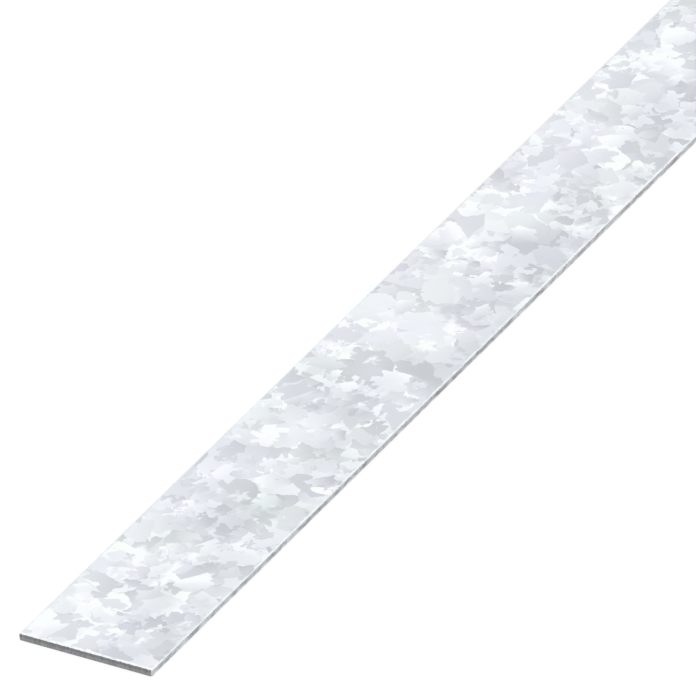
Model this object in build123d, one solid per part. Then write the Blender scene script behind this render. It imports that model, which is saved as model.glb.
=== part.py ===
from build123d import *
import os

# A length of galvanised steel flat bar: strip slit from zinc-coated coil, then
# cut to length in a guillotine. It is one piece of stock, lying flat.
#
# Millimetres. X runs along the bar, Y across it and Z up through its thickness.
# The origin is in the middle of the underside.

LENGTH = 1000.0
WIDTH = 40.0
THICKNESS = 2.0

# Each cut pulls the upper skin down into a roll, shears a bright upright land
# below it, and tears the rest away as a fracture that leans in to the foot.
# Roll and foot are quarters of an ellipse: the roll is tangent to the skin and
# to the land, and the foot is tangent to the underside.

# The two long edges, from the slitting knives. The foot is dressed, so that a
# hand can run along the bar.
SLIT_ROLL_WIDTH = 0.70
SLIT_ROLL_DEPTH = 0.14
SLIT_LAND = 0.80
SLIT_LEAN = 0.06
SLIT_FOOT_WIDTH = 0.24
SLIT_FOOT_HEIGHT = 0.36

# The two ends, from the guillotine. The foot is left as cut, almost sharp.
SHEAR_ROLL_WIDTH = 1.15
SHEAR_ROLL_DEPTH = 0.18
SHEAR_LAND = 0.66
SHEAR_LEAN = 0.08
SHEAR_FOOT_WIDTH = 0.06
SHEAR_FOOT_HEIGHT = 0.06

# The four upright corners, where the burr is nipped off.
CORNER_RADIUS = 0.30

QUARTER = 90


def cut_profile(span, roll_width, roll_depth, land, lean, foot_width, foot_height):
    """The bar seen along a cut: span wide, with the same edge left and right."""
    half = span / 2
    land_top = THICKNESS - roll_depth
    land_foot = land_top - land
    with BuildSketch() as profile:
        with BuildLine():
            Line((0, THICKNESS), (half - roll_width, THICKNESS))
            EllipticalCenterArc(
                (half - roll_width, land_top), roll_width, roll_depth, arc_size=QUARTER
            )
            Line((half, land_top), (half, land_foot))
            Line((half, land_foot), (half - lean, foot_height))
            foot = EllipticalCenterArc(
                (half - lean - foot_width, foot_height), foot_width, foot_height, -QUARTER
            )
            Line(foot @ 0, (0, 0))
            mirror(about=Plane.YZ)
        make_face()
    return profile.sketch


def slit_strip():
    """The coil's strip: its section across the width, run out along X."""
    section = cut_profile(
        WIDTH, SLIT_ROLL_WIDTH, SLIT_ROLL_DEPTH, SLIT_LAND, SLIT_LEAN,
        SLIT_FOOT_WIDTH, SLIT_FOOT_HEIGHT,
    )
    return extrude(Plane.YZ * section, LENGTH / 2, both=True)


def guillotined_length():
    """What the guillotine leaves: the side view of both ends, run out along Y."""
    side_view = cut_profile(
        LENGTH, SHEAR_ROLL_WIDTH, SHEAR_ROLL_DEPTH, SHEAR_LAND, SHEAR_LEAN,
        SHEAR_FOOT_WIDTH, SHEAR_FOOT_HEIGHT,
    )
    return extrude(Plane.XZ * side_view, WIDTH / 2, both=True)


def nipped_corners():
    """The plan of the bar, with its four upright corners rounded."""
    return extrude(RectangleRounded(LENGTH, WIDTH, CORNER_RADIUS), THICKNESS)


flat_bar = slit_strip() & guillotined_length() & nipped_corners()

os.makedirs("parts", exist_ok=True)
export_step(flat_bar, "parts/flat_bar.step")
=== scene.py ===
# %% [markdown]
# # A length of galvanised flat bar
# The real object is one piece of stock: steel strip with a hot-dip zinc skin, slit to width and
# sheared to length. The frame below is its measured model. This script gives it a finer mesh,
# its crystal-patterned skin and its cut edges, then lights it and sets up the camera.

# %% Load the frame
import math
import bpy
import numpy
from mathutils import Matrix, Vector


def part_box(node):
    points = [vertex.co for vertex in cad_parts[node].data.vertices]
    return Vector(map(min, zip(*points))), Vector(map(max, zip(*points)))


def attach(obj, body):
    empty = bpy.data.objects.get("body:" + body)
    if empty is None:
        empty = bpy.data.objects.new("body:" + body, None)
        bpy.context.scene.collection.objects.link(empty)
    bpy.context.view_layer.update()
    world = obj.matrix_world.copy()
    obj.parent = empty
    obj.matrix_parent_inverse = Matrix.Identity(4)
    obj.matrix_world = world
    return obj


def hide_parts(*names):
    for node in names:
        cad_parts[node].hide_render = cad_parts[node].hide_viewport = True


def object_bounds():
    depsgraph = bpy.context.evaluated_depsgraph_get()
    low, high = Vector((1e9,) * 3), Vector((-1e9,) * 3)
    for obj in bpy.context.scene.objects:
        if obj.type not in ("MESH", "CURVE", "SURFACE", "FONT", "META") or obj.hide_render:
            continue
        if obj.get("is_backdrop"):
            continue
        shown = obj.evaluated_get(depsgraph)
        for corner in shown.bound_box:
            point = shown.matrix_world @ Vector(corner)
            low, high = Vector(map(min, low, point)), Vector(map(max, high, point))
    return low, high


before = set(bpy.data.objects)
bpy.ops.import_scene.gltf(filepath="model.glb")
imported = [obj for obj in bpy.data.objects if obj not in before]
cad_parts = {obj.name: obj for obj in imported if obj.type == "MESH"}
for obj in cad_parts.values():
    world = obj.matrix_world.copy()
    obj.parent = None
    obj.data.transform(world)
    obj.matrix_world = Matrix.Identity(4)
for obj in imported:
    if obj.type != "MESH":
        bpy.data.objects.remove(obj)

MM = 0.001
cad_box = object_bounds()
low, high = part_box("flat_bar")
LENGTH, WIDTH, THICKNESS = high - low
print("bar, mm:", [round(side / MM, 2) for side in (LENGTH, WIDTH, THICKNESS)])

# %% [markdown]
# ## Camera
# The bar is seen from above its near end, and its long edges look almost parallel. A very long
# lens a long way off gives that flat look, and unlike an orthographic camera it still frames the
# whole bar when it is moved round the object.

# %% Aim a long lens at the near part of the bar
LENS = 1700
CAMERA_AZIMUTH = math.radians(-62.10)
CAMERA_ELEVATION = math.radians(31.11)
CAMERA_DISTANCE = 8.822
AIM = (-0.3300, 0.0115, THICKNESS)


def from_angles(azimuth, elevation, distance):
    """A place at a distance from the origin. Azimuth 0 is on the -Y side and 90 degrees on +X."""
    flat = distance * math.cos(elevation)
    return (flat * math.sin(azimuth), -flat * math.cos(azimuth), distance * math.sin(elevation))


offset = from_angles(CAMERA_AZIMUTH, CAMERA_ELEVATION, CAMERA_DISTANCE)
bpy.ops.object.camera_add(
    location=[a + b for a, b in zip(AIM, offset)],
    rotation=(math.pi / 2 - CAMERA_ELEVATION, 0, CAMERA_AZIMUTH),
)
camera = bpy.context.object
camera.data.lens = LENS
camera.data.clip_end = 100
bpy.context.scene.camera = camera
print("camera:", LENS, "mm lens at", [round(side, 2) for side in camera.location], "m")

# %% [markdown]
# ## The two kinds of cut edge
# Slitting knives cut the long edges and a guillotine shears the ends. Both leave the same marks:
# the top skin is pulled down in a roll, below it is an upright land that the blade rubbed, and
# below that the steel tore away, leans in and turns under in a small foot. The guillotine is
# blunter, so its roll is wider. A bevel would give every edge one and the same round, so the two
# side views are worked out here first.

# %% Measure the cuts


class Cut:
    """A cut edge seen from its side, with its sizes given in mm.

    The zinc foot is the height that the zinc is dragged down to, and drag is how far that line
    wanders up and down.
    """

    def __init__(self, roll_width, roll_depth, land, lean, foot_width, foot_height, zinc_foot, drag):
        self.roll_width = roll_width * MM
        self.roll_depth = roll_depth * MM
        self.land_top = THICKNESS - self.roll_depth
        self.land_foot = self.land_top - land * MM
        self.lean = lean * MM
        self.foot_width = foot_width * MM
        self.foot_height = foot_height * MM
        self.zinc_foot = zinc_foot * MM
        self.drag = drag * MM

    def stands_back(self, height):
        """How far the edge stands back from its land at a height."""
        if height > self.land_top:
            rise = min((height - self.land_top) / self.roll_depth, 1)
            return self.roll_width * (1 - math.sqrt(1 - rise**2))
        if height >= self.land_foot:
            return 0
        if height >= self.foot_height:
            share = (self.land_foot - height) / (self.land_foot - self.foot_height)
            return self.lean * share
        drop = 1 - height / self.foot_height
        return self.lean + self.foot_width * (1 - math.sqrt(1 - drop**2))


slit = Cut(
    roll_width=0.70,
    roll_depth=0.14,
    land=0.80,
    lean=0.06,
    foot_width=0.24,
    foot_height=0.36,
    zinc_foot=1.882,
    drag=0.20,
)
sheared = Cut(
    roll_width=1.15,
    roll_depth=0.18,
    land=0.66,
    lean=0.08,
    foot_width=0.06,
    foot_height=0.06,
    zinc_foot=1.914,
    drag=0.10,
)


def half_sizes(height):
    """Half the length and half the width of the bar at a height."""
    return LENGTH / 2 - sheared.stands_back(height), WIDTH / 2 - slit.stands_back(height)


for height in (0.0, slit.land_foot, THICKNESS):
    outline = [round(2 * float(side) / MM, 2) for side in half_sizes(height)]
    print("outline at", round(float(height) / MM, 2), "mm up:", outline)

# %% [markdown]
# The bar is grown from the bottom. It starts as a grid for the underside, and each extrude lifts
# the whole grid one level and resizes it to the outline there. The levels lie close together
# where a roll or a foot turns. Lifting a grid, and not one big face, also leaves edges where the
# paint map is cut later.

# %% Choose the levels
LEVELS_IN_ROLL = 8
LEVELS_IN_FOOT = 4
heights = {0.0, THICKNESS}
for cut in (slit, sheared):
    heights |= {cut.land_top, cut.land_foot, cut.foot_height}
    for step in range(1, LEVELS_IN_ROLL):
        turn = math.pi / 2 * step / LEVELS_IN_ROLL
        heights.add(cut.land_top + cut.roll_depth * math.sin(turn))
    for step in range(1, LEVELS_IN_FOOT):
        turn = math.pi / 2 * step / LEVELS_IN_FOOT
        heights.add(cut.foot_height * (1 - math.cos(turn)))
heights = sorted(heights)
print("levels:", len(heights))

# %% Lay the grid for the underside
GRID_STEP = 5 * MM
bpy.ops.object.select_all(action="DESELECT")
bpy.ops.mesh.primitive_grid_add(
    x_subdivisions=round(LENGTH / GRID_STEP), y_subdivisions=round(WIDTH / GRID_STEP), size=1
)
bar = bpy.context.object
bar.name = bar.data.name = "galvanised_bar"
half_length, half_width = half_sizes(0)
bar.scale = (2 * half_length, 2 * half_width, 1)
bpy.ops.object.transform_apply(location=True, rotation=True, scale=True)
print("grid:", len(bar.data.polygons), "faces")

# %% Round its four corners
CORNER_RADIUS = 0.30 * MM
CORNER_SEGMENTS = 4
bpy.ops.object.mode_set(mode="EDIT")
bpy.ops.mesh.select_all(action="DESELECT")
bpy.ops.object.mode_set(mode="OBJECT")
for vertex in bar.data.vertices:
    beyond_x = abs(vertex.co.x) > half_length - GRID_STEP / 2
    beyond_y = abs(vertex.co.y) > half_width - GRID_STEP / 2
    vertex.select = beyond_x and beyond_y
print("corners:", sum(vertex.select for vertex in bar.data.vertices))
bpy.ops.object.mode_set(mode="EDIT")
bpy.ops.mesh.select_mode(type="VERT")
bpy.ops.mesh.bevel(offset=CORNER_RADIUS, segments=CORNER_SEGMENTS, affect="VERTICES")

# %% Lift it level by level
bpy.ops.mesh.select_all(action="SELECT")
for below, above in zip(heights, heights[1:]):
    bpy.ops.mesh.extrude_region_move(TRANSFORM_OT_translate={"value": (0, 0, above - below)})
    growth = [b / a for a, b in zip(half_sizes(below), half_sizes(above))]
    bpy.ops.transform.resize(value=(*growth, 1), center_override=(0, 0, 0))
bpy.ops.mesh.select_all(action="SELECT")
bpy.ops.mesh.remove_doubles(threshold=1e-7)
bpy.ops.mesh.normals_make_consistent(inside=False)
bpy.ops.object.mode_set(mode="OBJECT")
print("bar:", len(bar.data.vertices), "vertices,", len(bar.data.polygons), "faces, box", bar.dimensions)

# %% [markdown]
# Extrude makes the same walls in every run, but it stores them in an order that changes from run
# to run. Only the vertices keep their order. So the mesh is listed afresh, with its faces sorted by
# the vertices that they join, and every run then gives one and the same mesh.

# %% Put its faces in one order
places = [vertex.co.copy() for vertex in bar.data.vertices]
faces = sorted(tuple(face.vertices) for face in bar.data.polygons)
bar.data.clear_geometry()
bar.data.from_pydata(places, [], faces)
print("faces in order:", len(bar.data.polygons), "from", faces[0], "to", faces[-1])

# %% [markdown]
# ## The paint map
# A bar is twenty-five times longer than wide, so an ordinary unwrap would lay it across a square
# picture as one thin line, and painted crystals would blur. Here its skin is cut into four
# lengths that lie one under another. The top lies flat with the walls folded out round it, and
# the underside, which shows least, is squeezed below. A map with this name is kept when the
# finishes are painted into pictures.

# %% Measure the skin down each wall
WALL_STRETCH = 1.2


def ways_down(cut):
    """How far each level lies from the flat top, measured along the skin of a cut."""
    ways = [0.0]
    for above, below in zip(heights[::-1], heights[-2::-1]):
        inwards = cut.stands_back(above) - cut.stands_back(below)
        ways.append(ways[-1] + WALL_STRETCH * math.hypot(inwards, above - below))
    return ways[::-1]


end_ways = ways_down(sheared)
side_ways = ways_down(slit)
print("from top to bottom along the skin, mm:", [round(ways[0] / MM, 2) for ways in (end_ways, side_ways)])

# %% Fold the walls out


def past(value, limit):
    """How far a value lies outside the range from -limit to limit."""
    return value - max(-limit, min(limit, value))


def unfolded(place):
    """A point of the top or of a wall, with the walls folded out level with the top."""
    top = half_sizes(THICKNESS)
    x, y = (value * up / here for value, up, here in zip(place, top, half_sizes(place.z)))
    out_x = past(x, top[0] - CORNER_RADIUS)
    out_y = past(y, top[1] - CORNER_RADIUS)
    out = math.hypot(out_x, out_y)
    if out == 0:
        return x, y
    end_way, side_way = (numpy.interp(place.z, heights, ways) for ways in (end_ways, side_ways))
    way = (end_way * out_x**2 + side_way * out_y**2) / out**2
    return x + out_x / out * way, y + out_y / out * way


# %% Lay the bar out in rows
ROWS = 4
ROW_LENGTH = LENGTH / ROWS
PICTURE = 256 * MM
TOP_ROW = 40.6 * MM
TOP_SQUEEZE = 0.85
UNDERSIDE_ROW = PICTURE / ROWS - TOP_ROW
UNDERSIDE_SQUEEZE = 0.54
paint_map = bar.data.uv_layers.new(name="OFBake")
for face in bar.data.polygons:
    row = min(int((face.center.x + LENGTH / 2) / ROW_LENGTH), ROWS - 1)
    row_middle = (row + 0.5) * ROW_LENGTH - LENGTH / 2
    for corner in face.loop_indices:
        place = bar.data.vertices[bar.data.loops[corner].vertex_index].co
        if face.center.z == 0:
            along = place.x
            up = ROWS * TOP_ROW + (row + 0.5) * UNDERSIDE_ROW + place.y * UNDERSIDE_SQUEEZE
        else:
            along, across = unfolded(place)
            up = (row + 0.5) * TOP_ROW + across * TOP_SQUEEZE
        paint_map.data[corner].uv = ((along - row_middle) / PICTURE + 0.5, up / PICTURE)
print("paint map:", ROWS, "rows, each", round(ROW_LENGTH / PICTURE * 100), "% of the picture wide")

# %% [markdown]
# ## Nodes, in short
# Each finish below is a small tree of nodes. These helpers keep the trees short: they feed a
# socket with a number or with another node's output, and add a node with its settings and inputs.

# %% Make helpers that add and link nodes


def feed(tree, socket, value):
    if isinstance(value, bpy.types.NodeSocket):
        tree.links.new(value, socket)
    else:
        socket.default_value = value


def add(tree, kind, inputs=None, **settings):
    made = tree.nodes.new("ShaderNode" + kind)
    for name, value in settings.items():
        setattr(made, name, value)
    for name, value in (inputs or {}).items():
        feed(tree, made.inputs[name], value)
    return made


def maths(tree, operation, *values, clamp=False):
    made = add(tree, "Math", operation=operation, use_clamp=clamp)
    for socket, value in zip(made.inputs, values):
        feed(tree, socket, value)
    return made.outputs[0]


def vector_maths(tree, operation, *values, output=0):
    made = add(tree, "VectorMath", operation=operation)
    for socket, value in zip(made.inputs, values):
        feed(tree, socket, value)
    return made.outputs[output]


# %% Make helpers that shape a value


def around_zero(tree, value, size):
    """A value from 0 to 1 made to swing round 0, from -size/2 to size/2."""
    return maths(tree, "MULTIPLY_ADD", value, size, -size / 2)


def ranged(tree, value, start, end, kind="SMOOTHSTEP"):
    """0 where the value is at start or before, 1 at end or past it."""
    reach = {"Value": value, "From Min": start, "From Max": end}
    return add(tree, "MapRange", reach, interpolation_type=kind).outputs[0]


def noise(tree, place, grain, detail, output="Fac"):
    """Noise with so many lumps to the mm."""
    return add(tree, "TexNoise", {"Vector": place, "Scale": grain, "Detail": detail}).outputs[output]


# %% Make helpers for colours and groups


def mixed(tree, factor, first, second, kind="FLOAT", blend="MIX"):
    """A Mix node. It has hidden sockets for other kinds of value, so these are found by name."""
    made = add(tree, "Mix", data_type=kind)
    ending = "_Color" if kind == "RGBA" else "_Float"
    sockets = {socket.identifier: socket for socket in (*made.inputs, *made.outputs)}
    if kind == "RGBA":
        made.blend_type = blend
    feed(tree, sockets["Factor_Float"], factor)
    feed(tree, sockets["A" + ending], first)
    feed(tree, sockets["B" + ending], second)
    return sockets["Result" + ending]


def colour_ramp(tree, value, *stops):
    """A colour ramp from stops of (position, red, green, blue), with its two ends first."""
    made = add(tree, "ValToRGB", {"Fac": value})
    marks = made.color_ramp.elements
    for number, (position, *colour) in enumerate(stops):
        mark = marks[number] if number < 2 else marks.new(position)
        mark.position = position
        mark.color = (*colour, 1)
    return made.outputs["Color"]


def new_group(name, inputs, outputs):
    """An empty shader node group, with its input and output nodes."""
    group = bpy.data.node_groups.new(name, "ShaderNodeTree")
    for in_out, sockets in (("INPUT", inputs), ("OUTPUT", outputs)):
        for socket, kind in sockets.items():
            group.interface.new_socket(socket, in_out=in_out, socket_type="NodeSocket" + kind)
    return group, group.nodes.new("NodeGroupInput").outputs, group.nodes.new("NodeGroupOutput").inputs


# %% [markdown]
# ## Zinc flakes
# Molten zinc freezes into flat crystals. Each starts at a point, grows arms and stops where it
# meets its neighbours, so the skin is a patchwork of ragged, leaf-like flakes, each a little
# lighter or darker than the next because it mirrors light another way. Plain Voronoi cells have
# straight sides and look like cracked mud. Here each cell holds one flake instead: the distance
# from the cell's middle is compared with a reach that grows and shrinks with the direction.

# %% Work out how far a flake reaches
ARMS = 5
ARM_SHARPNESS = 1.6
BODY_REACH, ARM_REACH, LEAST_REACH = 0.44, 0.16, 0.26
RAGGED, RAGGED_GRAIN = 0.95, 1.0
SMALLEST, SIZE_SPREAD = 0.55, 0.9
NOISE_SPREAD = 60.0


def flake_reach(group, away, dice, turned, size):
    """How far a flake reaches from its middle on this side, in cells."""
    sides = add(group, "SeparateXYZ", {"Vector": away}).outputs
    turn = maths(group, "DIVIDE", maths(group, "ARCTAN2", sides["Y"], sides["X"]), 2 * math.pi)
    arms = maths(group, "MULTIPLY_ADD", turn, float(ARMS), turned)
    arm = maths(group, "MULTIPLY", maths(group, "PINGPONG", arms, 0.5), 2)
    arm = maths(group, "POWER", arm, ARM_SHARPNESS)
    own_place = vector_maths(group, "SCALE", dice)
    own_place.node.inputs["Scale"].default_value = NOISE_SPREAD
    heading = vector_maths(group, "ADD", vector_maths(group, "NORMALIZE", away), own_place)
    uneven = noise(group, heading, RAGGED_GRAIN, 2.0)
    reach = maths(group, "MULTIPLY_ADD", arm, ARM_REACH, BODY_REACH)
    reach = maths(group, "ADD", reach, around_zero(group, uneven, RAGGED))
    reach = maths(group, "MAXIMUM", reach, LEAST_REACH)
    return maths(group, "MULTIPLY", reach, maths(group, "MULTIPLY_ADD", size, SIZE_SPREAD, SMALLEST))


print("an arm reaches", round((BODY_REACH + ARM_REACH) * (SMALLEST + SIZE_SPREAD / 2), 2), "of a cell")

# %% [markdown]
# A flake is not one flat tone. It fades from side to side, some much more than others, and some
# have a thin bright or dark rim. Most have a crisp outline and a few melt into what lies below.
# The tone is the sum of two dice, so that middling flakes are the commonest.

# %% Work out a flake's tone
DIE_SWING = 0.5
SLOPE_LEAST, SLOPE_MORE, SLOPE_RARITY = 0.2, 1.6, 3
RIM_WIDTH = 0.05
RIM_DARKEST, RIM_SPREAD = -0.12, 0.35


def flake_tone(group, away, dice, depth, luck, more_luck):
    """The tone of a flake, which swings round 0."""
    slant = vector_maths(group, "SUBTRACT", dice, (0.5, 0.5, 0.5))
    shade = vector_maths(group, "DOT_PRODUCT", away, slant, output=1)
    rare = maths(group, "POWER", luck["Red"], SLOPE_RARITY)
    slope = maths(group, "MULTIPLY_ADD", rare, SLOPE_MORE, SLOPE_LEAST)
    tone = around_zero(group, luck["Green"], DIE_SWING)
    tone = maths(group, "ADD", tone, around_zero(group, more_luck["Red"], DIE_SWING))
    tone = maths(group, "MULTIPLY_ADD", shade, slope, tone)
    rim = maths(group, "SUBTRACT", 1, maths(group, "DIVIDE", depth, RIM_WIDTH, clamp=True))
    glint = maths(group, "MULTIPLY_ADD", more_luck["Blue"], RIM_SPREAD, RIM_DARKEST)
    return maths(group, "MULTIPLY_ADD", rim, glint, tone)


# %% Build one layer of flakes
CRISPEST, SOFTER, SOFT_RARITY = 0.012, 0.3, 5


def build_flake_layer():
    group, given, result = new_group(
        "flake_layer",
        {"Place": "Vector", "Size": "Float", "Share": "Float"},
        {"Cover": "Float", "Tone": "Float", "Hue": "Float"},
    )
    place = vector_maths(group, "DIVIDE", given["Place"], given["Size"])
    cell = add(group, "TexVoronoi", {"Vector": place, "Scale": 1.0}, voronoi_dimensions="2D")
    middle = cell.outputs["Position"]
    luck = add(group, "SeparateColor", {"Color": cell.outputs["Color"]}).outputs
    dice = add(group, "TexWhiteNoise", {"Vector": middle}, noise_dimensions="3D").outputs["Color"]
    more_luck = add(group, "SeparateColor", {"Color": dice}).outputs

    away = vector_maths(group, "SUBTRACT", place, middle)
    reach = flake_reach(group, away, dice, luck["Red"], more_luck["Green"])
    depth = maths(group, "SUBTRACT", reach, vector_maths(group, "LENGTH", away, output=1))
    rare = maths(group, "POWER", luck["Green"], SOFT_RARITY)
    softness = maths(group, "MULTIPLY_ADD", rare, SOFTER, CRISPEST)
    inside = maths(group, "DIVIDE", depth, softness, clamp=True)
    filled = maths(group, "LESS_THAN", luck["Blue"], given["Share"])
    feed(group, result["Cover"], maths(group, "MULTIPLY", inside, filled))
    feed(group, result["Tone"], flake_tone(group, away, dice, depth, luck, more_luck))
    feed(group, result["Hue"], more_luck["Blue"])
    return group


flake_layer = build_flake_layer()
print("one layer of flakes:", len(flake_layer.nodes), "nodes")

# %% [markdown]
# ## Spangle
# The pattern that the flakes make is called spangle. One layer of cells leaves gaps between its
# flakes, so seven layers of different sizes lie one on another, the largest at the bottom. The
# small ones come in busy patches, as on real zinc. The noise that bends the pattern is fine, so
# it frays the outlines and leaves the flakes where they are.

# %% Stack the layers
# Each layer: the size of its cells in mm, the share of them that hold a flake, and whether it
# keeps to the busy patches.
LAYERS = (
    (12.0, 1.0, False),
    (12.0, 1.0, False),
    (10.5, 0.9, False),
    (9.0, 0.7, False),
    (7.0, 0.9, True),
    (5.0, 0.7, True),
    (2.5, 0.35, True),
)
LAYER_SHIFT = (37.0, 11.0, 0.0)
BUSY_SHIFT = (300.0, 0.0, 0.0)
BUSY_GRAIN, BUSY_FROM, BUSY_TO = 0.05, 0.42, 0.62


def stacked_flakes(group, place, bent):
    """The tone and hue of the flake that lies on top at each place."""
    elsewhere = vector_maths(group, "ADD", place, BUSY_SHIFT)
    busy = ranged(group, noise(group, elsewhere, BUSY_GRAIN, 1.0), BUSY_FROM, BUSY_TO, "LINEAR")
    tone = hue = None
    for number, (size, share, in_patches) in enumerate(LAYERS):
        shift = tuple(number * step for step in LAYER_SHIFT)
        layer = add(group, "Group", node_tree=flake_layer)
        feed(group, layer.inputs["Place"], vector_maths(group, "ADD", bent, shift))
        layer.inputs["Size"].default_value = size
        feed(group, layer.inputs["Share"], maths(group, "MULTIPLY", busy, share) if in_patches else share)
        if tone is None:
            tone, hue = layer.outputs["Tone"], layer.outputs["Hue"]
        else:
            tone = mixed(group, layer.outputs["Cover"], tone, layer.outputs["Tone"])
            hue = mixed(group, layer.outputs["Cover"], hue, layer.outputs["Hue"])
    return tone, hue


print("layers:", len(LAYERS), "with cells from", LAYERS[-1][0], "to", LAYERS[0][0], "mm")

# %% [markdown]
# Slow noise over the flakes makes wide areas lighter or darker, and the zinc is a little
# brighter along one half of the strip. The faint cast of colour drifts too, and it follows the
# tone: dark flakes are a touch rosy and the lightest turn green.

# %% Drift the tone and the cast
TONE_LEVEL, TONE_SWING = 0.59, 1.25
AREA_GRAIN, AREA_SWING = 0.03, 0.56
BRIGHT_FROM, BRIGHT_TO, BRIGHT_SWING = 0.5, 7.5, 0.18
BRIGHT_WANDER = 12.0
HUE_SWING = 0.16
CAST_SHIFT = (0.0, 500.0, 0.0)
CAST_GRAIN, CAST_SWING = 0.05, 1.15
ROSE_IN_DARK, GREEN_IN_LIGHT = 0.07, 0.236


def drifting_tone(group, place, bent, tone):
    """The flakes' tone with wide light and dark areas, from about 0 to 1."""
    area = noise(group, place, AREA_GRAIN, 1.0)
    across = add(group, "SeparateXYZ", {"Vector": bent}).outputs["Y"]
    bright_side = maths(group, "MULTIPLY_ADD", area, BRIGHT_WANDER, across)
    bright_side = ranged(group, bright_side, BRIGHT_FROM, BRIGHT_TO)
    total = maths(group, "MULTIPLY_ADD", tone, TONE_SWING, TONE_LEVEL)
    total = maths(group, "ADD", total, around_zero(group, area, AREA_SWING))
    return maths(group, "ADD", total, around_zero(group, bright_side, BRIGHT_SWING))


def drifting_hue(group, place, hue, tone):
    """The flakes' hue, which is green at 0 and rose at 1."""
    elsewhere = vector_maths(group, "ADD", place, CAST_SHIFT)
    cast = around_zero(group, noise(group, elsewhere, CAST_GRAIN, 1.0), CAST_SWING)
    swing = maths(group, "ADD", around_zero(group, hue, HUE_SWING), cast)
    lightness = maths(group, "POWER", tone, 3)
    level = maths(group, "MULTIPLY_ADD", lightness, -GREEN_IN_LIGHT, 0.5 + ROSE_IN_DARK)
    return maths(group, "ADD", swing, level)


levels = [round(0.5 + ROSE_IN_DARK - GREEN_IN_LIGHT * tone**3, 2) for tone in (0.0, 0.5, 1.0)]
print("hue in dark, middling and light zinc:", levels)

# %% [markdown]
# Each flake also lies a touch out of level. A Bump node reads its whole height three times,
# which is too much work for seven layers, so the lean is made from each flake's hue and tone and
# later added to the surface's direction.

# %% Build the spangle
BEND_GRAIN, BEND = 0.4, 2.0


def build_spangle():
    group, given, result = new_group(
        "zinc_spangle",
        {"Place": "Vector"},
        {"Tone": "Float", "Hue": "Float", "Lean": "Vector"},
    )
    place = given["Place"]
    wander = add(group, "TexNoise", {"Vector": place, "Scale": BEND_GRAIN, "Detail": 3.0, "Roughness": 0.6})
    bend = vector_maths(group, "SUBTRACT", wander.outputs["Color"], (0.5, 0.5, 0.5))
    bent = vector_maths(group, "MULTIPLY_ADD", bend, (BEND, BEND, 0.0), place)
    tone, hue = stacked_flakes(group, place, bent)
    lean = add(group, "CombineXYZ", {"X": around_zero(group, hue, 1.0), "Y": tone}).outputs[0]
    total = drifting_tone(group, place, bent, tone)
    feed(group, result["Lean"], lean)
    feed(group, result["Tone"], total)
    feed(group, result["Hue"], drifting_hue(group, place, hue, total))
    return group


spangle = build_spangle()
print("spangle:", len(spangle.nodes), "nodes")

# %% [markdown]
# ## The zinc skin
# The skin is metal, so its colour is the tint of what it mirrors. A ramp turns each flake's tone
# into a cool grey that ends near white, and a second ramp gives it a breath of green or rose. The
# pattern reads Object coordinates, turned into millimetres, and is moved along on the underside,
# which froze on its own and doesn't repeat the top.

# %% Start a metal


def new_metal(name):
    material = bpy.data.materials.new(name)
    material.use_nodes = True
    shader = material.node_tree.nodes["Principled BSDF"]
    shader.inputs["Metallic"].default_value = 1.0
    return material, material.node_tree, shader.inputs


def in_millimetres(tree):
    """Object coordinates in millimetres."""
    where = add(tree, "TexCoord").outputs["Object"]
    return add(tree, "Mapping", {"Vector": where, "Scale": (1 / MM, 1 / MM, 1 / MM)}).outputs[0]


def raised(tree, relief, height, normal=None):
    """The surface's direction over a relief whose 0 and 1 lie this far apart."""
    bump = add(tree, "Bump", {"Height": relief, "Strength": 1.0, "Distance": height})
    if normal:
        feed(tree, bump.inputs["Normal"], normal)
    return bump.outputs[0]


# %% Give the skin its greys
UNDERSIDE_SHIFT = 300.0
zinc, tree, skin = new_metal("zinc_skin")
place = in_millimetres(tree)
sides = add(tree, "SeparateXYZ", {"Vector": place}).outputs
below = maths(tree, "LESS_THAN", sides["Z"], THICKNESS / MM / 2)
shift = add(tree, "CombineXYZ", {"X": maths(tree, "MULTIPLY", below, UNDERSIDE_SHIFT)}).outputs[0]
pattern = add(tree, "Group", node_tree=spangle)
feed(tree, pattern.inputs["Place"], vector_maths(tree, "ADD", place, shift))
grey = colour_ramp(
    tree,
    pattern.outputs["Tone"],
    (0.0, 0.611, 0.638, 0.665),
    (1.0, 0.970, 0.985, 1.0),
    (0.85, 0.882, 0.9125, 0.943),
    (0.95, 0.9375, 0.9635, 0.9895),
)
breath = colour_ramp(
    tree,
    pattern.outputs["Hue"],
    (0.0, 0.966, 1.0, 0.956),
    (1.0, 0.984, 0.937, 0.997),
    (0.32, 0.984, 0.992, 0.980),
    (0.45, 0.983, 0.9805, 0.990),
    (0.67, 0.982, 0.9755, 0.997),
)
colour = mixed(tree, 1.0, grey, breath, "RGBA", "MULTIPLY")
print("zinc skin:", len(tree.nodes), "nodes so far")
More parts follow.
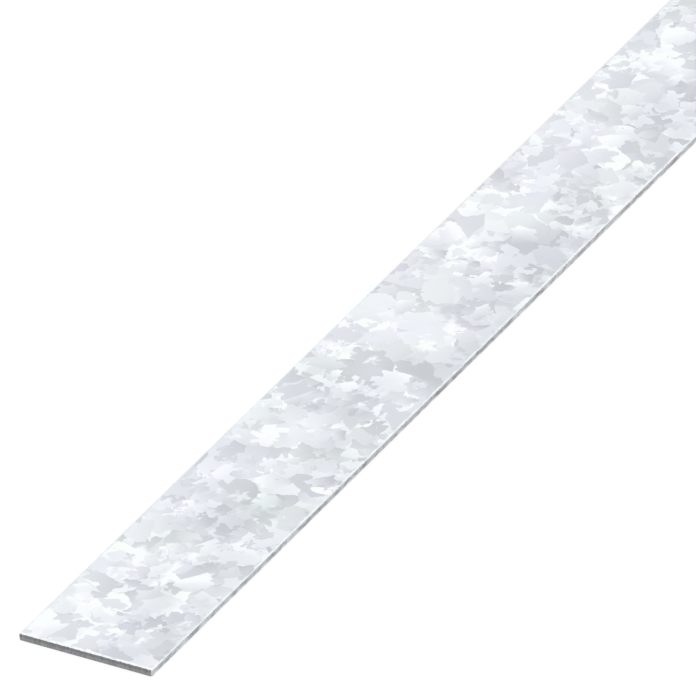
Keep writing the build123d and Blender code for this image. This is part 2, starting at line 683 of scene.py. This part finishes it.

# %% [markdown]
# The blades rubbed the crystals away where they rolled the edges over, and left them smooth. The
# rolls are found by their height: they are the only part of the skin that dips below the flat
# top. A painted highlight turns the rolls of both ends and of the near long edge towards white,
# in patches, and the roll along the far long edge gets a plain zinc grey instead.

# %% Paint highlights on the rolls
# Painted highlight: near-white zinc for the rolls of the ends and the near long edge, and a plain grey for
# the far roll.
HIGHLIGHT_ZINC = (0.97, 0.98, 0.99, 1)
PLAIN_ROLL_ZINC = (0.75, 0.785, 0.805, 1)
SIDE_HIGHLIGHT, END_HIGHLIGHT = 0.52, 1.4
DIP_FOR_FULL = 0.010
HIGHLIGHT_GRAIN, HIGHLIGHT_SWING = 0.25, 9.0
dip = maths(tree, "SUBTRACT", THICKNESS / MM, sides["Z"])
in_roll = maths(tree, "SQRT", ranged(tree, dip, 0.0, DIP_FOR_FULL, "LINEAR"))
in_roll = maths(tree, "MULTIPLY", in_roll, maths(tree, "SUBTRACT", 1, below))
from_middle = maths(tree, "ABSOLUTE", sides["X"])
on_end = maths(tree, "GREATER_THAN", from_middle, (LENGTH / 2 - sheared.roll_width) / MM)
far_roll_plain = maths(tree, "GREATER_THAN", sides["Y"], 0.0)
far_roll_plain = maths(tree, "MULTIPLY", far_roll_plain, maths(tree, "SUBTRACT", 1, on_end))
roll_colour = mixed(tree, far_roll_plain, HIGHLIGHT_ZINC, PLAIN_ROLL_ZINC, "RGBA")
patches = around_zero(tree, noise(tree, place, HIGHLIGHT_GRAIN, 2.0), HIGHLIGHT_SWING)
# How strong the painted highlight is: strongest on the ends, and broken into patches.
painted_highlight = maths(tree, "MULTIPLY", in_roll, mixed(tree, on_end, SIDE_HIGHLIGHT, END_HIGHLIGHT))
painted_highlight = maths(tree, "MULTIPLY", painted_highlight, maths(tree, "ADD", patches, 1.0), clamp=True)
feed(tree, skin["Base Color"], mixed(tree, painted_highlight, colour, roll_colour, "RGBA"))
print("zinc skin:", len(tree.nodes), "nodes with its rolls")

# %% [markdown]
# Dark flakes are the duller ones, so the roughness follows the tone. The relief is very low: the
# flakes lean a little, slow ripples run over them, and a fine grain shows only close up.

# %% Give the skin its sheen and relief
DULLEST, TONE_GLOSS = 0.50, -0.12
ROLL_DULLNESS = 0.32
GRAIN, GRAIN_DULLNESS, GRAIN_RELIEF = 4.0, 0.16, 0.15
RIPPLE_GRAIN, RIPPLE_HEIGHT = 0.5, 0.02 * MM
FLAKE_LEAN = 0.05
grain = noise(tree, place, GRAIN, 3.0)
dullness = maths(tree, "MULTIPLY_ADD", pattern.outputs["Tone"], TONE_GLOSS, DULLEST)
dullness = mixed(tree, in_roll, dullness, ROLL_DULLNESS)
feed(tree, skin["Roughness"], maths(tree, "ADD", dullness, around_zero(tree, grain, GRAIN_DULLNESS)))
lean = vector_maths(tree, "MULTIPLY", pattern.outputs["Lean"], (FLAKE_LEAN, FLAKE_LEAN, 0.0))
straight = add(tree, "NewGeometry").outputs["Normal"]
leaning = vector_maths(tree, "NORMALIZE", vector_maths(tree, "ADD", straight, lean))
relief = maths(tree, "MULTIPLY_ADD", grain, GRAIN_RELIEF, noise(tree, place, RIPPLE_GRAIN, 2.0))
feed(tree, skin["Normal"], raised(tree, relief, RIPPLE_HEIGHT, leaning))
print("zinc skin:", len(tree.nodes), "nodes in all")

# %% [markdown]
# ## The cut faces
# The cuts show bare steel. The land is rubbed, with fine upright scratches, and the torn steel
# below it is duller and grainy. The line between them wanders, and so does the lower edge of
# the zinc that the blade dragged down. Both cuts share one node group, which works along the
# edge and up it, and each material sets its own colours. A painted highlight lightens the
# upright corners along the near long edge.

# %% Build the marks of a cut
LAND_WANDER, LAND_SOFTNESS = 0.5, 0.05
DRAG_SWING, DRAG_SOFTNESS = 2.0, 0.01
BLOTCH_SWING = 2.0
SCRATCH_SWING, GRAIN_SWING = 0.4, 0.6


def build_cut_marks():
    measures = ("Along", "Height", "Land foot", "Zinc foot", "Drag", "Blotch", "To corner", "Highlight reach")
    masks = ("Land", "Zinc", "Shade", "Relief", "Corner highlight")
    group, given, result = new_group(
        "cut_marks", dict.fromkeys(measures, "Float"), dict.fromkeys(masks, "Float")
    )
    along, height = given["Along"], given["Height"]

    def marks(along, per_mm_along, per_mm_up, detail):
        """Noise stretched along the edge or up it."""
        across = maths(group, "MULTIPLY", along, per_mm_along)
        up = maths(group, "MULTIPLY", height, per_mm_up)
        return noise(group, add(group, "CombineXYZ", {"X": across, "Y": up}).outputs[0], 1.0, detail)

    wander = around_zero(group, marks(along, per_mm_along=0.5, per_mm_up=0.0, detail=2.0), LAND_WANDER)
    border = maths(group, "SUBTRACT", maths(group, "ADD", height, wander), given["Land foot"])
    land = ranged(group, border, -LAND_SOFTNESS, LAND_SOFTNESS, "LINEAR")
    feed(group, result["Land"], land)

    drag = around_zero(group, marks(along, per_mm_along=1.2, per_mm_up=0.0, detail=2.0), DRAG_SWING)
    drag = maths(group, "MULTIPLY", drag, given["Drag"])
    above = maths(group, "SUBTRACT", maths(group, "ADD", height, drag), given["Zinc foot"])
    feed(group, result["Zinc"], ranged(group, above, -DRAG_SOFTNESS, DRAG_SOFTNESS, "LINEAR"))

    in_blotches = maths(group, "DIVIDE", along, given["Blotch"])
    blotches = marks(in_blotches, per_mm_along=1.0, per_mm_up=0.5, detail=2.0)
    scratches = marks(along, per_mm_along=9.0, per_mm_up=0.4, detail=1.0)
    scratches = around_zero(group, scratches, SCRATCH_SWING)
    grain = around_zero(group, marks(along, per_mm_along=7.0, per_mm_up=7.0, detail=2.0), GRAIN_SWING)
    fine = mixed(group, land, grain, scratches)
    shade = maths(group, "ADD", around_zero(group, blotches, BLOTCH_SWING), fine)
    feed(group, result["Shade"], shade)
    feed(group, result["Relief"], fine)

    # Where the painted highlight on an upright corner reaches, with a frayed edge.
    away = maths(group, "SUBTRACT", given["To corner"], maths(group, "ABSOLUTE", along))
    away = maths(group, "SUBTRACT", away, CORNER_RADIUS / MM)
    frayed = around_zero(group, marks(along, per_mm_along=2.0, per_mm_up=3.0, detail=2.0), 1.0)
    reach = maths(group, "MULTIPLY", given["Highlight reach"], maths(group, "ADD", frayed, 1.0))
    away = maths(group, "DIVIDE", away, reach)
    feed(group, result["Corner highlight"], maths(group, "SUBTRACT", 1, ranged(group, away, 0.0, 1.0)))
    return group


cut_marks = build_cut_marks()
print("marks of a cut:", len(cut_marks.nodes), "nodes")

# %% [markdown]
# Each finish goes from the bottom layer up: torn steel, the land over it, its blotches, a painted
# highlight on the corner, and last the dragged zinc, which has worn thin where the blotches are lightest.
# The slit's torn steel turns lighter further down, to a light grey at its foot. The sheared end's
# foot has the colour of its torn steel.

# %% Define the finish of a cut
DRAGGED_ZINC = (0.87, 0.89, 0.905, 1)
# The colour of the painted highlight on the corners.
CORNER_HIGHLIGHT_STEEL = (0.58, 0.60, 0.62, 1)
ZINC_WORN = 0.5
ZINC_ROUGHNESS = 0.32
SCRATCH_ROUGHNESS = 0.3
SCRATCH_DEPTH = 0.025 * MM


def new_cut_steel(name, cut, axis, to_corner, highlight_reach, blotch, contrast, land, torn, foot):
    """A finish for one kind of cut, whose land and torn steel each have a colour and a roughness.

    The torn steel takes on the foot's colour further down. The axis is the one that runs along
    the edge, and the corner lies so far from the middle.
    """
    material, tree, steel = new_metal(name)
    place = add(tree, "SeparateXYZ", {"Vector": in_millimetres(tree)}).outputs
    marks = add(tree, "Group", node_tree=cut_marks)
    feed(tree, marks.inputs["Along"], place[axis])
    feed(tree, marks.inputs["Height"], place["Z"])
    marks.inputs["Land foot"].default_value = cut.land_foot / MM
    marks.inputs["Zinc foot"].default_value = cut.zinc_foot / MM
    marks.inputs["Drag"].default_value = cut.drag / MM
    marks.inputs["Blotch"].default_value = blotch
    marks.inputs["To corner"].default_value = to_corner / MM
    marks.inputs["Highlight reach"].default_value = highlight_reach

    (land_colour, land_roughness), (torn_colour, torn_roughness) = land, torn
    at_foot = ranged(tree, place["Z"], cut.land_foot / MM, cut.foot_height / MM)
    colour = mixed(tree, at_foot, (*torn_colour, 1), (*foot, 1), "RGBA")
    colour = mixed(tree, marks.outputs["Land"], colour, (*land_colour, 1), "RGBA")
    shade = maths(tree, "MULTIPLY_ADD", marks.outputs["Shade"], contrast, 1.0)
    grey = add(tree, "CombineColor", {"Red": shade, "Green": shade, "Blue": shade}).outputs[0]
    colour = mixed(tree, 1.0, colour, grey, "RGBA", "MULTIPLY")
    # The painted highlight goes only on the corners along the near long edge.
    on_near_edge = maths(tree, "LESS_THAN", place["Y"], 0.0)
    corner_highlight = maths(tree, "MULTIPLY", marks.outputs["Corner highlight"], on_near_edge)
    colour = mixed(tree, corner_highlight, colour, CORNER_HIGHLIGHT_STEEL, "RGBA")
    cover = maths(tree, "MULTIPLY_ADD", marks.outputs["Shade"], -ZINC_WORN, 1.0, clamp=True)
    cover = maths(tree, "MULTIPLY", marks.outputs["Zinc"], cover)
    feed(tree, steel["Base Color"], mixed(tree, cover, colour, DRAGGED_ZINC, "RGBA"))

    dullness = mixed(tree, marks.outputs["Land"], torn_roughness, land_roughness)
    dullness = mixed(tree, marks.outputs["Zinc"], dullness, ZINC_ROUGHNESS)
    dullness = maths(tree, "MULTIPLY_ADD", marks.outputs["Relief"], SCRATCH_ROUGHNESS, dullness)
    feed(tree, steel["Roughness"], dullness)
    feed(tree, steel["Normal"], raised(tree, marks.outputs["Relief"], SCRATCH_DEPTH))
    print(name + ":", len(tree.nodes), "nodes")
    return material


# %% Make the slit edge and the sheared end
slit_steel = new_cut_steel(
    "slit_edge",
    slit,
    axis="X",
    to_corner=LENGTH / 2,
    highlight_reach=2.0,
    blotch=3.2,
    contrast=0.9,
    land=((0.452, 0.472, 0.483), 0.40),
    torn=((0.418, 0.437, 0.448), 0.52),
    foot=(0.615, 0.635, 0.650),
)
# The sheared end is given steel about half as light as the slit edge's: this is painted shade, as on an end
# turned away from the light.
sheared_steel = new_cut_steel(
    "sheared_end",
    sheared,
    axis="Y",
    to_corner=WIDTH / 2,
    highlight_reach=0.12,
    blotch=0.7,
    contrast=0.55,
    land=((0.208, 0.213, 0.218), 0.42),
    torn=((0.302, 0.31, 0.318), 0.58),
    foot=(0.302, 0.31, 0.318),
)

# %% [markdown]
# ## Which face wears which finish
# Zinc covers the top, the upper part of the rolls and the underside. Further down a roll it is
# broken, so there the cut's own finish takes over and puts the last of the zinc on with its
# mask. The two upright corners along the near long edge belong to the slit, and the other two
# to the ends.

# %% Put the finishes on the faces
UNBROKEN_SKIN = 0.8
for material in (zinc, slit_steel, sheared_steel):
    bar.data.materials.append(material)
ZINC, SLIT, SHEARED = range(3)


def finish_of(face):
    x, y, z = face.center
    half_x, half_y = half_sizes(z)
    on_corner = abs(x) > half_x - CORNER_RADIUS and abs(y) > half_y - CORNER_RADIUS
    on_end = abs(face.normal.x) > abs(face.normal.y)
    cut = sheared if on_end else slit
    if z == 0 or z > cut.land_top + cut.roll_depth * UNBROKEN_SKIN:
        return ZINC
    if on_corner:
        return SLIT if y < 0 else SHEARED
    return SHEARED if on_end else SLIT


for face in bar.data.polygons:
    face.material_index = finish_of(face)
worn = [face.material_index for face in bar.data.polygons]
print("faces of zinc, slit and sheared steel:", [worn.count(finish) for finish in (ZINC, SLIT, SHEARED)])

# %% [markdown]
# The rolls and feet are round, so their faces are shaded smooth. The land meets them at a crisp
# line, which an angle limit keeps.

# %% Shade it smooth
CRISP_ANGLE = 30
bpy.ops.object.select_all(action="DESELECT")
bar.select_set(True)
bpy.ops.object.shade_smooth_by_angle(angle=math.radians(CRISP_ANGLE))
print("crisp where faces turn more than", CRISP_ANGLE, "degrees")

# %% [markdown]
# ## Floor and light
# The bar lies on a pale floor in an even white studio. Metal shows what is round it, so the
# whole sky is white and shines at the strength that makes each colour come out as it is written.
# A weak, wide sun from high above only makes a soft shadow: lower down, it would glare in the
# zinc from the far side. The floor glows a little for the camera and for mirror rays, which
# turns it white without putting more light on the bar.

# %% Lay the floor
FLOOR_SIZE = 60
FLOOR_GREY = 0.22
FLOOR_GLOW = 0.80
bpy.ops.mesh.primitive_plane_add(size=FLOOR_SIZE)
floor = bpy.context.object
floor.name = "studio_floor"
floor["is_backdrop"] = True
floor_paint = bpy.data.materials.new("floor_paint")
floor_paint.use_nodes = True
tree = floor_paint.node_tree
tree.nodes.remove(tree.nodes["Principled BSDF"])
paint = add(tree, "BsdfDiffuse", {"Color": (FLOOR_GREY, FLOOR_GREY, FLOOR_GREY, 1)})
path = add(tree, "LightPath").outputs
seen = maths(tree, "MAXIMUM", path["Is Camera Ray"], path["Is Glossy Ray"])
seen = maths(tree, "MAXIMUM", seen, path["Is Transmission Ray"])
glow = add(tree, "Emission", {"Color": (1, 1, 1, 1), "Strength": maths(tree, "MULTIPLY", seen, FLOOR_GLOW)})
both = add(tree, "AddShader", {0: paint.outputs[0], 1: glow.outputs[0]})
feed(tree, tree.nodes["Material Output"].inputs["Surface"], both.outputs[0])
floor.data.materials.append(floor_paint)
print("floor:", FLOOR_SIZE, "m wide")

# %% Light the studio
SKY_STRENGTH = 1.005
SUN_STRENGTH = 0.3
SUN_WIDTH = math.radians(40)
SUN_TILT, SUN_TURN = math.radians(10), math.radians(-60)
world = bpy.data.worlds.new("studio")
bpy.context.scene.world = world
world.use_nodes = True
sky = world.node_tree.nodes["Background"].inputs
sky["Color"].default_value = (1, 1, 1, 1)
sky["Strength"].default_value = SKY_STRENGTH
bpy.ops.object.light_add(type="SUN", rotation=(SUN_TILT, 0, SUN_TURN))
sun = bpy.context.object
sun.data.energy = SUN_STRENGTH
sun.data.angle = SUN_WIDTH
bpy.context.scene.view_settings.view_transform = "Standard"
print("light: sky", SKY_STRENGTH, "and sun", SUN_STRENGTH)

# %% [markdown]
# ## Hand it over
# The bar takes the place of the measured solid, and rides on its one body. The two boxes are
# written down, so that a change of size would show.

# %% Tie the bar to the frame and finish
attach(bar, "root")
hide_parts("flat_bar")
boxes = {"cad": cad_box, "visual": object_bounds()}
boxes = {name: [[float(value) for value in corner] for corner in box] for name, box in boxes.items()}
print("boxes, m:", boxes)
